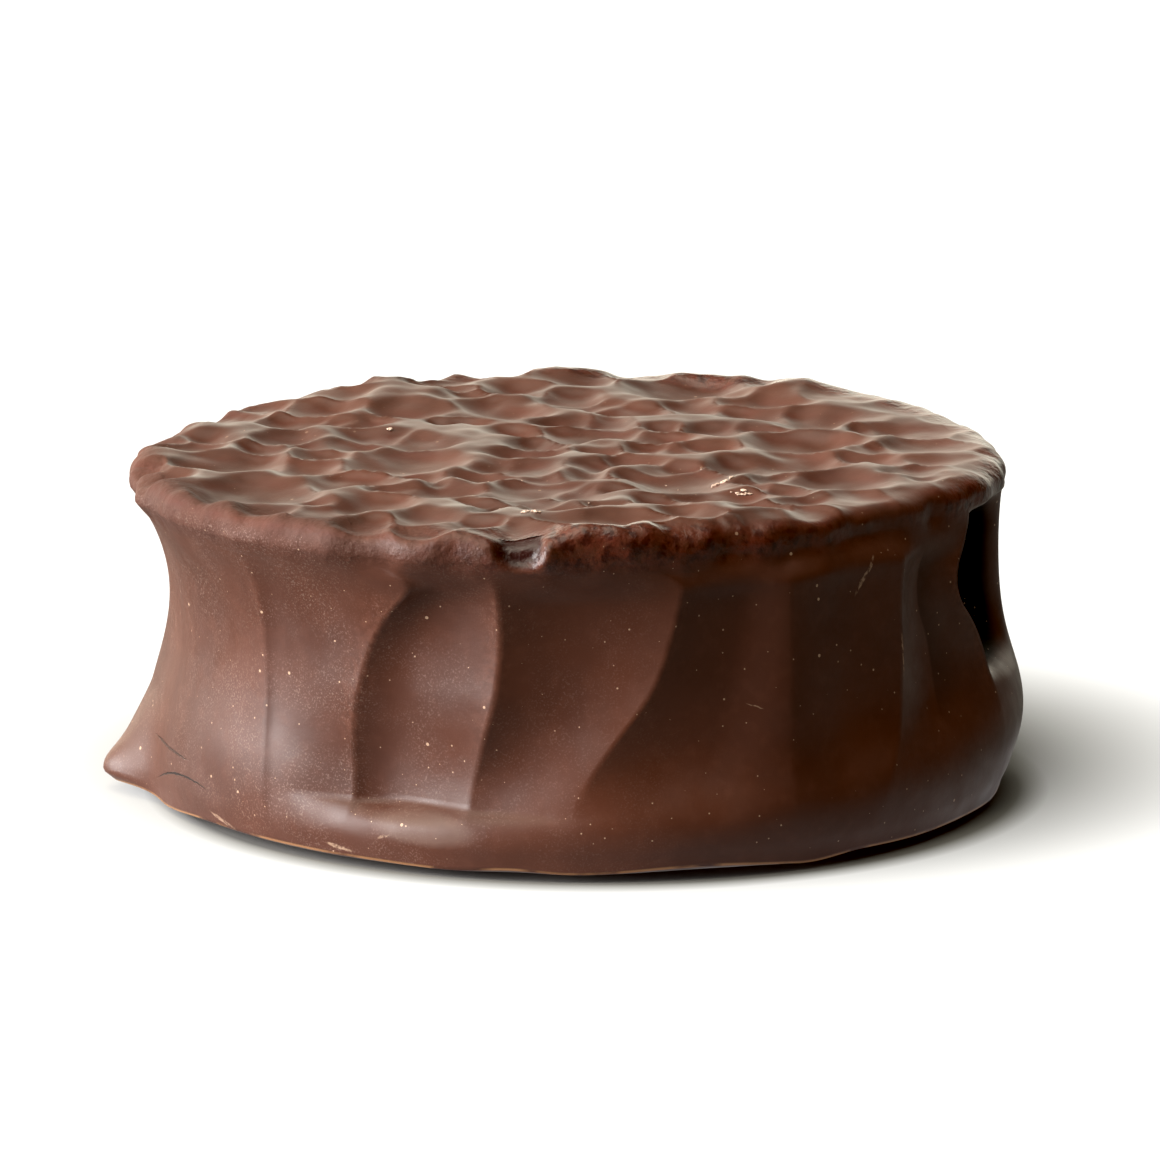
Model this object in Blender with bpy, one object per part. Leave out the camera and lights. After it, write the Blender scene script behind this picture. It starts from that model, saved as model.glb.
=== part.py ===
"""An alfajor cookie: a round biscuit sandwich under one unbroken skin of set dark chocolate.

It rests on its base at Z = 0, with its axis on +Z. The front, with the chipped rim, faces -Y. Angles run
round the cookie from the front and are positive towards +X. Every size here is in millimetres, up to the last
step, which turns the mesh into metres.
"""

import math
from typing import NamedTuple

import bmesh
import bpy
import numpy as np

METRES_PER_MM = 0.001

# Driving sizes of the cookie
TOP_HEIGHT = 24.0  # of the top, between its hollows and its crests
TOP_RADIUS = 31.0  # where the top turns over into the rim
RIM_HEIGHT = 22.4  # where the rim is widest
FOOT_RADIUS = 30.9  # of the thin edge of the skin at the foot
FOOT_EDGE_HEIGHT = 0.75  # that edge is curled clear of the table
FLAT_RADIUS = 27.0  # of the flat face it rests on

# The roundover from the top to the rim: degrees round the cookie and how far it reaches in there
SHOULDER_ANGLES = (-180, -90, -50, 0, 20, 50, 75, 110, 180)
SHOULDER_WIDTHS = (2.2, 1.7, 1.3, 1.2, 1.1, 1.1, 2.0, 2.2, 2.2)
SHOULDER_EVEN = 12  # degrees each way over which the widths are evened out
SHOULDER_FULLNESS = 0.75  # 1 for a quarter of an ellipse, less for a squarer corner

# The rim stands steep and drawn in at the front on the right: depth, where it begins and ends, and heights
RIM_INSET = 1.2
RIM_INSET_FROM = (2.0, 24.0)
RIM_INSET_TO = (50.0, 72.0)
RIM_INSET_HEIGHTS = (19.8, 22.2)

# Swells of the two outlines: cosine and sine, in mm, of one, two and three waves to the turn
TOP_SWELLS = ((-0.1, -0.2), (0.7, -1.1), (-0.1, -0.1))
FOOT_SWELLS = ((0.0, 0.2), (0.2, 0.4), (0.1, 0.2))

# Mesh
COLUMNS = 144
SHOULDER_ROWS = 4
SIDE_ROWS = 17
CURL_ROWS = 3
SHARP_FROM = 50.0  # degrees between two faces from which their edge shows as sharp

SEED = 24


class Fold(NamedTuple):
    """A fold of the skin: a crest that runs down the side, and the hollow panel to the right of it."""

    angles: tuple  # degrees, of the crest at each of CREST_HEIGHTS
    sharpness: float  # 0 for a soft swelling, 1 for a crease
    depth: float  # of the panel below its two crests
    floor: float  # where the panel is deepest, as a share of its width
    walls: float = 2.0  # 2 for a dished panel, more for steep walls and a wide floor
    foot: float = 1.8  # height at which the panel runs out, below
    head: float = 21.9  # and above
    rise: float = 3.0  # height over which it deepens, from its foot up
    ease: float = -0.2  # share of its depth that it loses further up or, below nought, near its foot


CREST_HEIGHTS = (21, 17, 13, 9, 5)
FOLDS = (
    Fold((-86, -87, -87, -86, -84.5), 0.0, 0.2, 0.5),
    Fold((-64, -64, -65, -67, -68), 0.0, 0.15, 0.5),
    Fold((-44.5, -44.5, -44.5, -44, -43.5), 0.9, 0.4, 0.15),
    Fold((-18, -25.2, -28.3, -30, -30), 1.0, 1.2, 0.38, foot=3.4, rise=1.4, ease=-0.5),
    Fold((-9.2, -8.7, -9.3, -11.3, -13.5), 1.0, 1.2, 0.45, foot=3.5, rise=9.0, ease=0.1),
    Fold((14.6, 13, 10.5, 4.3, 0), 0.9, 0.9, 0.55, foot=2.5, rise=7.0),
    Fold((29, 29, 29, 28.5, 28), 0.3, 0.55, 0.5, rise=6.0),
    Fold((50, 48.7, 48.5, 46.8, 41.5), 0.7, 0.9, 0.4, foot=3.0, rise=7.0),
    Fold((67, 61.5, 69.5, 70, 70), 1.0, 7.5, 0.4, walls=3.5, foot=9.0, head=22.2, rise=5.5),  # the pocket
    Fold((89, 89, 89, 89, 90), 0.0, 0.7, 0.5),
)
BACK_FOLDS = 8
BACK_START = 112.0  # degrees
BACK_END = 256.0
BACK_JITTER = 3.5  # degrees that a crest strays from even spacing
BACK_LEAN = 7.0  # degrees between a crest's head and its foot, at most
BACK_LEANS = (-0.5, -0.3, 0.0, 0.3, 0.5)  # share of that lean at each of CREST_HEIGHTS
BACK_SHARPNESS = (0.4, 1.0)
BACK_DEPTH = (0.6, 1.3)
BACK_FLOOR = (0.35, 0.65)
EASE_HEIGHTS = (5.0, 12.0)  # between which a panel eases
FADE_OUT = 3.0  # height over which a panel runs out, from its head down
CREST_BEND = 1.5  # height over which a crest's path turns
EVEN_FROM = 20.0  # height from which the columns of the mesh spread out evenly again, up to the rim

# The waist, drawn in most at WAIST_HEIGHT
WAIST_HEIGHT = 16.0
WAIST_HEIGHT_RIGHT = 1.5  # higher by this at the right, and lower at the left
WAIST_FOOT = 2.0
WAIST_DEPTH = 1.4
WAIST_LEFT = 1.1  # deeper by this at the left, and shallower at the right
WAIST_FRONT = 0.55  # shallower by this at the front, and deeper at the back

# How far the rim stands out past TOP_RADIUS, and how much more at the left
RIM_OVERHANG = 0.65
RIM_LEFT = 0.05

# The bulging band of chocolate that ran down to the foot, how much more it bulges at the right and at both
# sides, and how much higher and broader it is at both sides
BAND_BULGE = 0.6
BAND_BULGE_RIGHT = 0.6
BAND_BULGE_SIDES = 0.35
BAND_HEIGHT = 3.6
BAND_HEIGHT_SIDES = 2.8
BAND_SPREAD = 2.4
BAND_SPREAD_SIDES = 2.2
BAND_TUCK = 2.5  # height over which it tucks in to the foot's edge

# The ledge over the band at the front on the left: depth, where it begins and ends, and heights
LEDGE = 1.4
LEDGE_FROM = (-50.0, -34.0)
LEDGE_TO = (-14.0, 8.0)
LEDGE_STEP = (1.2, 4.6)
LEDGE_END = (5.0, 13.0)

# The tail of set chocolate at the foot, on the left, with its rounded end
TAIL_ANGLE = -84.5
TAIL_LENGTH = 2.4
TAIL_HALF_ANGLE = 13.0
TAIL_LEVEL = 1.4  # height at which it is longest
TAIL_UNDER = 4.0  # height over which it would run out below, and above
TAIL_HEIGHT = 6.5
TAIL_TAPER = 1.35
TAIL_BEAD = (0.6, 2.1, 1.4)  # how far its rounded end stands out, the height of it and its radius

# The chip in the rim at the front
CHIP_ANGLE = -6.1
CHIP_DEPTH = 0.9
CHIP_HALF_WIDTH = 1.6
CHIP_HALF_HEIGHT = 1.2
CHIP_HEIGHT = 23.2

# Unevenness of the side, the rim and the foot's edge: depth, and the least and most waves to the turn
SIDE_WAVES = (0.12, 2, 9)
SIDE_WAVES_FULL = 6.0  # height from which they are as deep as that
RIM_WAVES = (0.16, 11, 43)
RIM_WAVES_FROM = 20.5
FOOT_WAVES = (0.12, 3, 19)

# The hollows of the top: across, back and radius, the large ones and then finer ones
HOLLOWS = (
    (-24.0, -5.6, 4.0),
    (-17.8, -6.8, 3.0),
    (-12.3, -4.2, 4.2),
    (-22.0, -14.5, 4.5),
    (-15.2, -12.5, 3.0),
    (-14.1, -20.0, 3.4),
    (-8.2, -15.5, 3.0),
    (-3.0, -15.0, 3.2),
    (6.7, -12.5, 3.8),
    (11.6, -7.0, 3.0),
    (16.0, -5.0, 3.8),
    (19.2, -11.5, 3.5),
    (0.5, -17.0, 2.5),
    (-12.0, 15.0, 3.2),
    (-5.5, 16.0, 3.6),
    (-1.0, 20.0, 2.4),
    (-4.0, 23.5, 2.6),
    (-21.1, 9.9, 2.5),
    (-14.2, 5.0, 2.4),
    (1.5, 5.5, 3.0),
    (4.3, 14.3, 2.4),
    (8.0, 24.5, 4.5),
    (15.0, 19.0, 3.2),
    (13.5, 13.5, 2.8),
    (18.2, 12.0, 3.8),
    (20.0, 21.0, 3.0),
    (25.0, 9.0, 3.2),
    (25.0, 2.5, 3.2),
    (16.5, 3.0, 3.8),
    (10.5, 7.0, 2.2),
    (21.6, -4.0, 2.5),
    (4.3, -4.0, 2.0),
    (7.0, -7.4, 2.0),
    (-3.5, -1.8, 2.1),
)
FINE_HOLLOWS = (
    (-6.0, -6.0, 2.0),
    (-2.8, -7.0, 2.2),
    (-11.9, -14.5, 1.2),
    (-9.8, -12.4, 1.3),
    (-16.6, -22.0, 2.5),
    (-6.6, -20.1, 1.3),
    (-5.0, -22.4, 1.4),
    (-9.6, -24.7, 2.2),
    (8.0, -0.8, 1.8),
    (14.5, -10.8, 1.5),
    (13.1, -12.9, 1.3),
    (25.8, -4.2, 1.8),
    (24.9, -10.6, 1.5),
    (3.1, -14.9, 1.2),
    (2.2, -20.8, 1.1),
    (6.0, -20.0, 2.3),
    (14.3, -15.5, 2.2),
    (17.4, -13.5, 1.2),
    (-7.2, 9.2, 1.3),
    (-9.3, 9.4, 1.3),
    (-3.9, 6.4, 1.8),
    (-2.8, 2.4, 2.0),
    (-17.4, 9.7, 1.3),
    (-14.9, 9.9, 1.5),
    (-27.2, 1.5, 2.0),
    (-18.6, 1.5, 1.5),
    (22.0, 7.0, 1.6),
    (13.9, 8.0, 1.6),
    (6.4, 8.3, 1.6),
    (22.0, 0.6, 1.5),
    (6.0, 0.1, 1.5),
)
SMALL_HOLLOW = (1.8, 3.2)  # radii of those between, least and most
SMALL_HOLLOW_TRIES = 1500
HOLLOW_SPACING = 0.82  # least distance between two centres, as a share of their radii together
HOLLOW_DEPTH = 0.27  # of a hollow 1 mm in radius, growing as the power below
HOLLOW_POWER = 0.8
HOLLOW_TILT = 0.045  # slope of their floors, as drawn
CREST_LEVEL = 0.3  # that no crest between hollows passes, over TOP_HEIGHT
CREST_ROUNDING = 0.035
CREEP = (0.42, 3.6, 10.8, 16)  # straying of the crests: distance, least and most wave length, number of waves
FINE_SWELL = 0.08  # height of a fine unevenness, as a share of that distance
SWELL_PACE = 2.2  # how many times shorter its waves are
SWELLINGS = (  # taller places near the back edge: across, back, radius and height
    (-14.0, 24.0, 9.5, 0.65),
    (-0.7, 28.5, 2.6, 0.45),
    (18.5, 23.5, 5.5, 0.95),
    (4.5, 27.5, 2.5, 0.35),
)

CHOCOLATE = (0.075, 0.028, 0.016, 1.0)
CHOCOLATE_ROUGHNESS = 0.42


def smooth_step(start, end, value):
    """0 up to start, 1 from end on, with an even S between."""
    share = np.clip((value - start) / (end - start), 0.0, 1.0)
    return share * share * (3.0 - 2.0 * share)


def outline(radius, swells, angle):
    for count, (cosine, sine) in enumerate(swells, start=1):
        radius = radius + cosine * np.cos(count * angle) + sine * np.sin(count * angle)
    return radius


def shoulder_width(angle):
    """How far the roundover reaches in from the rim."""
    near = [
        np.interp((np.degrees(angle) + shift + 180.0) % 360.0 - 180.0, SHOULDER_ANGLES, SHOULDER_WIDTHS)
        for shift in np.linspace(-SHOULDER_EVEN, SHOULDER_EVEN, 5)
    ]
    return np.mean(near, axis=0)


def rim_inset(angle):
    """How far the top's edge is drawn in."""
    turned = (np.degrees(angle) + 180.0) % 360.0 - 180.0
    return RIM_INSET * smooth_step(*RIM_INSET_FROM, turned) * (1.0 - smooth_step(*RIM_INSET_TO, turned))


def top_edge(angle):
    """Radius at which the top begins to turn over."""
    return outline(TOP_RADIUS, TOP_SWELLS, angle) - rim_inset(angle) - shoulder_width(angle)


def waves(settings, angle, stream):
    """Seeded unevenness round the cookie, as deep as the first setting."""
    depth, least, most = settings
    random = np.random.default_rng([SEED, stream])
    total = np.zeros_like(angle)
    for count in range(least, most + 1):
        total += random.normal() * np.cos(count * angle + random.uniform(0.0, math.tau))
    return total * depth / math.sqrt((most - least + 1) / 2.0)


def back_folds():
    """Folds like those at the front, round the side that faces away."""
    random = np.random.default_rng([SEED, 1])
    folds = []
    for middle in np.linspace(BACK_START, BACK_END, BACK_FOLDS):
        middle += random.uniform(-BACK_JITTER, BACK_JITTER)
        lean = random.uniform(-BACK_LEAN, BACK_LEAN)
        angles = tuple(middle + lean * share for share in BACK_LEANS)
        sharpness = random.uniform(*BACK_SHARPNESS)
        depth = random.uniform(*BACK_DEPTH)
        folds.append(Fold(angles, sharpness, depth, floor=random.uniform(*BACK_FLOOR)))
    return folds


def crest_angles(folds, height):
    """Angles in degrees, of the crest of each fold at each height: one row a fold."""
    rows = []
    for fold in folds:
        near = [
            np.interp(height + bend, CREST_HEIGHTS[::-1], fold.angles[::-1])
            for bend in np.linspace(-CREST_BEND, CREST_BEND, 5)
        ]
        rows.append(np.mean(near, axis=0))
    return np.array(rows)


def column_places(folds):
    """Where each fold's crest falls among the columns of the mesh, as a share of the turn."""
    return np.array([round(np.mean(fold.angles) / 360.0 * COLUMNS) / COLUMNS for fold in folds])


def panels(folds, turn, height):
    """Angle in radians, and depth of the panel, of a column of the mesh at each height.

    The columns between two crests spread evenly from one to the other, so a crest always lies on a column.
    """
    places = column_places(folds)
    turn = (turn - places[0]) % 1.0 + places[0]
    before = np.searchsorted(places, turn + 1e-9) - 1
    after = (before + 1) % len(folds)
    width = np.diff(np.append(places, places[0] + 1.0))[before]
    share = (turn - places[before]) / width

    crests = crest_angles(folds, height)
    points = np.arange(len(turn))
    left = crests[before, points]
    right = crests[after, points] + np.where(after == 0, 360.0, 0.0)
    angle = np.radians(left + (right - left) * share)
    angle += (turn * math.tau - angle) * smooth_step(EVEN_FROM, RIM_HEIGHT, height)

    sharpness, depth, floor, walls, foot, head, rise, ease = np.array([fold[1:] for fold in folds]).T
    near_left = share < floor[before]
    inward = np.where(near_left, share / floor[before], (1.0 - share) / (1.0 - floor[before]))
    crease = np.where(near_left, sharpness[before], sharpness[after])
    dished = 1.0 - (1.0 - inward) ** walls[before]
    soft = np.sin(inward * math.pi / 2.0) ** 2
    fade = smooth_step(foot[before], foot[before] + rise[before], height)
    further_up = smooth_step(*EASE_HEIGHTS, height)
    fade *= 1.0 - np.abs(ease[before]) * np.where(ease[before] > 0.0, further_up, 1.0 - further_up)
    fade *= 1.0 - smooth_step(head[before] - FADE_OUT, head[before], height)
    return angle, depth[before] * (soft + (dished - soft) * crease) * fade


def chip(angle, height):
    """Depth of the chip in the rim."""
    across = TOP_RADIUS * np.sin(angle - math.radians(CHIP_ANGLE)) / CHIP_HALF_WIDTH
    up = (height - CHIP_HEIGHT) / CHIP_HALF_HEIGHT
    return CHIP_DEPTH * np.exp(-(across**2) - up**2) * (np.cos(angle) > 0.0)


def side_radius(angle, height):
    """Radius of the side before its folds, from the foot's edge up to the rim."""
    foot = outline(FOOT_RADIUS, FOOT_SWELLS, angle)
    rightness = np.sin(angle)
    rim = outline(TOP_RADIUS, TOP_SWELLS, angle) + RIM_OVERHANG - RIM_LEFT * rightness
    rise = (height - FOOT_EDGE_HEIGHT) / (RIM_HEIGHT - FOOT_EDGE_HEIGHT)
    radius = foot + (rim - foot) * rise

    waist_share = np.clip((height - WAIST_FOOT) / (RIM_HEIGHT - WAIST_FOOT), 0.0, 1.0)
    deepest = (WAIST_HEIGHT + WAIST_HEIGHT_RIGHT * rightness - WAIST_FOOT) / (RIM_HEIGHT - WAIST_FOOT)
    waist = np.sin(math.pi * waist_share ** (math.log(0.5) / np.log(deepest)))
    radius -= (WAIST_DEPTH - WAIST_LEFT * rightness - WAIST_FRONT * np.cos(angle)) * waist

    from_band = height - BAND_HEIGHT - BAND_HEIGHT_SIDES * rightness**2
    from_band /= BAND_SPREAD + BAND_SPREAD_SIDES * rightness**2
    bulge = BAND_BULGE + BAND_BULGE_RIGHT * rightness + BAND_BULGE_SIDES * rightness**2
    radius += bulge * np.exp(-(from_band**2)) * smooth_step(0.0, BAND_TUCK, height)
    radius += waves(SIDE_WAVES, angle, 2) * smooth_step(0.0, SIDE_WAVES_FULL, height)
    radius += waves(RIM_WAVES, angle, 3) * smooth_step(RIM_WAVES_FROM, RIM_HEIGHT, height)
    radius -= rim_inset(angle) * smooth_step(*RIM_INSET_HEIGHTS, height)

    turned = (np.degrees(angle) + 180.0) % 360.0 - 180.0
    ledge = smooth_step(*LEDGE_FROM, turned) * (1.0 - smooth_step(*LEDGE_TO, turned))
    low, high = LEDGE_STEP
    roll = np.sqrt(1.0 - np.clip((height - low) / (high - low), 0.0, 1.0) ** 2)
    radius -= LEDGE * ledge * (1.0 - roll) * (1.0 - smooth_step(*LEDGE_END, height))

    from_tail = (np.degrees(angle) - TAIL_ANGLE + 180.0) % 360.0 - 180.0
    point = np.clip(1.0 - (from_tail / TAIL_HALF_ANGLE) ** 2, 0.0, 1.0) ** 3
    above = height - TAIL_LEVEL
    away = np.where(above > 0.0, above / TAIL_HEIGHT, -above / TAIL_UNDER)
    slope = np.clip(1.0 - away, 0.0, 1.0) ** TAIL_TAPER
    stand, level, spread = TAIL_BEAD
    beside = TOP_RADIUS * np.radians(from_tail)
    bead = stand * np.exp(-((height - level) ** 2 + beside**2) / spread**2)
    return radius + TAIL_LENGTH * point * slope + bead


def hollows():
    """Places and radii of the hollows of the top: the large ones, then seeded small ones between them."""
    random = np.random.default_rng([SEED, 4])
    found = [*HOLLOWS, *FINE_HOLLOWS]
    for _ in range(SMALL_HOLLOW_TRIES):
        radius = random.uniform(*SMALL_HOLLOW)
        reach = TOP_RADIUS * math.sqrt(random.uniform(0.0, 1.0))
        direction = random.uniform(0.0, math.tau)
        x = reach * math.cos(direction)
        y = reach * math.sin(direction)
        others = np.array(found)
        apart = np.hypot(x - others[:, 0], y - others[:, 1])
        if np.all(apart > HOLLOW_SPACING * (radius + others[:, 2])):
            found.append((x, y, radius))
    return np.array(found)


def creep(x, y, stream):
    """Seeded straying of a place of the top, in mm."""
    reach, shortest, longest, count = CREEP
    random = np.random.default_rng([SEED, stream])
    total = np.zeros_like(x)
    for _ in range(count):
        length = random.uniform(shortest, longest)
        direction = random.uniform(0.0, math.tau)
        along = x * math.cos(direction) + y * math.sin(direction)
        total += np.sin(along / length * math.tau + random.uniform(0.0, math.tau))
    return total * reach / math.sqrt(count / 2.0)


def top_relief(x, y):
    """Height over TOP_HEIGHT, of dished hollows that meet in thin crests."""
    strayed_x = x + creep(x, y, 6)
    strayed_y = y + creep(x, y, 7)
    random = np.random.default_rng([SEED, 8])
    rises = []
    for across, back, radius in hollows():
        depth = HOLLOW_DEPTH * radius**HOLLOW_POWER
        from_x = strayed_x - across
        from_y = strayed_y - back
        rise = depth * (from_x**2 + from_y**2) / radius**2 - depth
        rise += random.normal(0.0, HOLLOW_TILT) * from_x
        rise += random.normal(0.0, HOLLOW_TILT) * from_y
        rises.append(rise)
    total = sum(np.exp(-rise / CREST_ROUNDING) for rise in rises)
    relief = -CREST_ROUNDING * np.log(total)
    relief = np.where(relief > 0.0, CREST_LEVEL * np.tanh(relief / CREST_LEVEL), relief)
    relief += creep(x * SWELL_PACE, y * SWELL_PACE, 9) * FINE_SWELL
    for across, back, radius, height in SWELLINGS:
        relief += height * np.exp(-((x - across) ** 2 + (y - back) ** 2) / radius**2)
    return relief


def plain_drum(rows):
    """A drum of radius 1: a square grid across its top, rows of faces 1 high, and one face below."""
    drum = bmesh.new()
    bmesh.ops.create_circle(drum, segments=COLUMNS, radius=1.0)
    ring = drum.edges[:]
    rails = []
    for edge in ring:
        middle = (edge.verts[0].co + edge.verts[1].co) / 2.0
        if abs(middle.y) > abs(middle.x):
            rails.append(edge)
    bmesh.ops.grid_fill(drum, edges=rails)
    for _ in range(rows):
        made = bmesh.ops.extrude_edge_only(drum, edges=ring)["geom"]
        lowered = [item for item in made if isinstance(item, bmesh.types.BMVert)]
        bmesh.ops.translate(drum, verts=lowered, vec=(0.0, 0.0, -1.0))
        new = set(lowered)
        ring = [
            item for item in made if isinstance(item, bmesh.types.BMEdge) and new.issuperset(item.verts)
        ]
    bmesh.ops.contextual_create(drum, geom=ring)
    bmesh.ops.recalc_face_normals(drum, faces=drum.faces)
    return drum


def shoulder_points(turn, share):
    """Points of the roundover, from the top at share 0 to the rim at share 1."""
    angle = turn * math.tau
    inner = top_edge(angle)
    over = np.sin(share * math.pi / 2.0) ** SHOULDER_FULLNESS
    up = np.maximum(np.cos(share * math.pi / 2.0), 0.0) ** SHOULDER_FULLNESS
    height = RIM_HEIGHT + (TOP_HEIGHT - RIM_HEIGHT) * up
    radius = inner + (side_radius(angle, np.full_like(angle, RIM_HEIGHT)) - inner) * over
    radius -= chip(angle, height)
    x = radius * np.sin(angle)
    y = -radius * np.cos(angle)
    return np.stack((x, y, height + top_relief(x, y) * up), axis=1)


def side_points(turn, share):
    """Points of the side, from the rim at share 0 to the foot's edge at share 1."""
    edge = FOOT_EDGE_HEIGHT + waves(FOOT_WAVES, turn * math.tau, 5)
    height = RIM_HEIGHT + (edge - RIM_HEIGHT) * share
    angle, depth = panels([*FOLDS, *back_folds()], turn, height)
    radius = side_radius(angle, height) - depth - chip(angle, height)
    return np.stack((radius * np.sin(angle), -radius * np.cos(angle), height), axis=1)


def curl_points(turn, share):
    """Points of the underside, from the foot's edge at share 0 in to the flat face at share 1."""
    edge = side_points(turn, np.ones_like(turn))
    radius = np.hypot(edge[:, 0], edge[:, 1])
    reach = (FLAT_RADIUS + (radius - FLAT_RADIUS) * (1.0 - share)) / radius
    return np.stack((edge[:, 0] * reach, edge[:, 1] * reach, edge[:, 2] * (1.0 - share) ** 2), axis=1)


def formed(plain):
    """The drum's points, moved to the cookie's own surface."""
    row = np.rint(-plain[:, 2])
    reach = np.hypot(plain[:, 0], plain[:, 1])
    turn = np.round(np.arctan2(plain[:, 0], -plain[:, 1]) / math.tau * COLUMNS) / COLUMNS
    points = np.empty_like(plain)

    across = row == 0
    angle = np.arctan2(plain[across, 0], -plain[across, 1])
    inner = top_edge(angle) * reach[across]
    x = inner * np.sin(angle)
    y = -inner * np.cos(angle)
    points[across] = np.stack((x, y, TOP_HEIGHT + top_relief(x, y)), axis=1)

    first = 0
    stretches = (
        (shoulder_points, SHOULDER_ROWS),
        (side_points, SIDE_ROWS),
        (curl_points, CURL_ROWS),
    )
    for points_of, rows in stretches:
        here = (row > first) & (row <= first + rows)
        points[here] = points_of(turn[here], (row[here] - first) / rows)
        first += rows
    return points


def dark_chocolate():
    material = bpy.data.materials.new("dark chocolate")
    material.use_nodes = True
    surface = material.node_tree.nodes["Principled BSDF"]
    surface.inputs["Base Color"].default_value = CHOCOLATE
    surface.inputs["Roughness"].default_value = CHOCOLATE_ROUGHNESS
    surface.inputs["Metallic"].default_value = 0.0
    return material


def alfajor():
    """The whole cookie, one closed solid."""
    mesh = bpy.data.meshes.new("alfajor")
    drum = plain_drum(SHOULDER_ROWS + SIDE_ROWS + CURL_ROWS)
    plain = np.array([vertex.co[:] for vertex in drum.verts])
    for vertex, point in zip(drum.verts, formed(plain) * METRES_PER_MM):
        vertex.co = point
    bmesh.ops.triangulate(drum, faces=[face for face in drum.faces if len(face.verts) == 4])
    drum.to_mesh(mesh)
    drum.free()
    mesh.shade_smooth()
    mesh.set_sharp_from_angle(angle=math.radians(SHARP_FROM))
    mesh.materials.append(dark_chocolate())
    cookie = bpy.data.objects.new("alfajor", mesh)
    bpy.context.scene.collection.objects.link(cookie)
    return cookie


for leftover in list(bpy.data.objects):
    bpy.data.objects.remove(leftover)
alfajor()
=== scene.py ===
import math
from typing import NamedTuple

import bmesh
import bpy
import numpy as np
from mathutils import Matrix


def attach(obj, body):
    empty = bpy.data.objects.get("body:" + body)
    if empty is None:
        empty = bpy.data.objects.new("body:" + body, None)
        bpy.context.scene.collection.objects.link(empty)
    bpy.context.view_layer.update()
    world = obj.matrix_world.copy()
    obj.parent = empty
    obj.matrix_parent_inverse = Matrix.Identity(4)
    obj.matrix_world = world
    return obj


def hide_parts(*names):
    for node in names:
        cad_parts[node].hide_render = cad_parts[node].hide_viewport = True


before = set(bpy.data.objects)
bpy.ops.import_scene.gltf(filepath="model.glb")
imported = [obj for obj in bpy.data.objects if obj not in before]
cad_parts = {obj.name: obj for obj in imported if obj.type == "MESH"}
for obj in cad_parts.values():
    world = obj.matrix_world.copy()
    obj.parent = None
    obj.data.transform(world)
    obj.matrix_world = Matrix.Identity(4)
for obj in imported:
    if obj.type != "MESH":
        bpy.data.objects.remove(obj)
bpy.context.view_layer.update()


# The skin of set dark chocolate
# A baked and filled biscuit sandwich was dipped whole, then set on a belt. The chocolate wrinkled into dished
# hollows on top, ran down the side in folds, gathered in a band above the belt and cracked off it at a thin
# edge. Sizes are in mm. Angles run round the cookie from its front, -Y, and are positive towards +X.
MM = 0.001

TOP_HEIGHT = 24.0
TOP_RADIUS = 31.0  # where the top turns over into the rim
RIM_HEIGHT = 22.4  # where the rim is widest
RIM_INSET = 1.2  # how far the top's edge is drawn in at the front on the right, where the rim stands steep
RIM_INSET_FROM = (2.0, 24.0)  # degrees over which it begins
RIM_INSET_TO = (50.0, 72.0)  # and ends
RIM_INSET_HEIGHTS = (19.8, 22.2)
SHOULDER_ANGLES = (-180, -90, -50, 0, 20, 50, 75, 110, 180)  # degrees
SHOULDER_WIDTHS = (2.2, 1.7, 1.3, 1.2, 1.1, 1.1, 2.0, 2.2, 2.2)  # of the roundover there
SHOULDER_EVEN = 12  # degrees each way over which the widths are evened out
SHOULDER_FULLNESS = 0.75  # 1 for a quarter of an ellipse, less for a squarer corner
FOOT_RADIUS = 30.9
FOOT_EDGE_HEIGHT = 0.75
FLAT_RADIUS = 27.0

# Swells of the two outlines: cosine and sine of one, two and three waves to the turn
TOP_SWELLS = ((-0.1, -0.2), (0.7, -1.1), (-0.1, -0.1))
FOOT_SWELLS = ((0.0, 0.2), (0.2, 0.4), (0.1, 0.2))

SEED = 24


def smooth_step(start, end, value):
    """0 up to start, 1 from end on, with an even S between."""
    share = np.clip((value - start) / (end - start), 0.0, 1.0)
    return share * share * (3.0 - 2.0 * share)


def outline(radius, swells, angle):
    for count, (cosine, sine) in enumerate(swells, start=1):
        radius = radius + cosine * np.cos(count * angle) + sine * np.sin(count * angle)
    return radius


def shoulder_width(angle):
    """How far the roundover reaches in from the rim."""
    near = [
        np.interp((np.degrees(angle) + shift + 180.0) % 360.0 - 180.0, SHOULDER_ANGLES, SHOULDER_WIDTHS)
        for shift in np.linspace(-SHOULDER_EVEN, SHOULDER_EVEN, 5)
    ]
    return np.mean(near, axis=0)


def rim_inset(angle):
    """How far the top's edge is drawn in."""
    turned = (np.degrees(angle) + 180.0) % 360.0 - 180.0
    return RIM_INSET * smooth_step(*RIM_INSET_FROM, turned) * (1.0 - smooth_step(*RIM_INSET_TO, turned))


def top_edge(angle):
    """Radius at which the top begins to turn over."""
    return outline(TOP_RADIUS, TOP_SWELLS, angle) - rim_inset(angle) - shoulder_width(angle)


def waves(settings, angle, stream):
    """Seeded unevenness round the cookie, as deep as the first setting, from the least to the most waves."""
    depth, least, most = settings
    random = np.random.default_rng([SEED, stream])
    total = np.zeros_like(angle)
    for count in range(least, most + 1):
        total += random.normal() * np.cos(count * angle + random.uniform(0.0, math.tau))
    return total * depth / math.sqrt((most - least + 1) / 2.0)


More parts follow.
